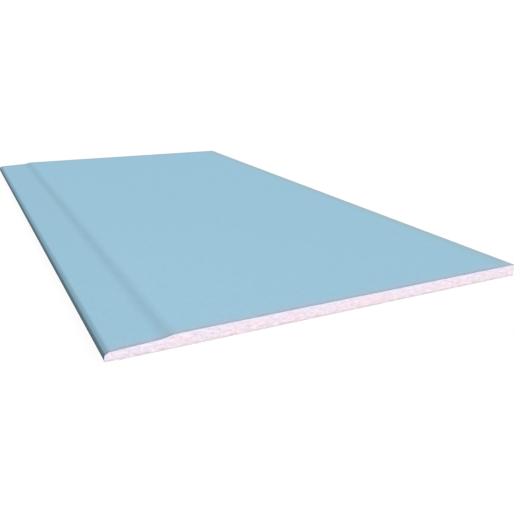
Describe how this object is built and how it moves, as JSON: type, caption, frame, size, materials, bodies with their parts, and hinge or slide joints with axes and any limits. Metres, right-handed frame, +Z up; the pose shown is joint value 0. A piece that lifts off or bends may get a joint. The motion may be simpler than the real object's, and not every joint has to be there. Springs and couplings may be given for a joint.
{
  "type": "drywall sheet",
  "caption": "Flat sheet of moisture-resistant drywall: a foamed gypsum core between paper faces, with one long edge tapered and paper-wrapped for a taped joint.",
  "frame": {"origin": "middle of the back face, on the floor that the sheet lies on", "axes": "+X across the sheet, from the tapered edge at -X to the cut edge; +Y along its length; +Z up, out of the face"},
  "size_m": [0.45, 0.84, 0.0125],
  "materials": {
    "foamed_gypsum": "matte",
    "blue_face_paper": "matte",
    "grey_back_paper": "matte"
  },
  "bodies": {
    "root": {"gypsum_core": "foamed_gypsum", "face_paper": "blue_face_paper", "back_paper": "grey_back_paper"}
  },
  "joints": []
}
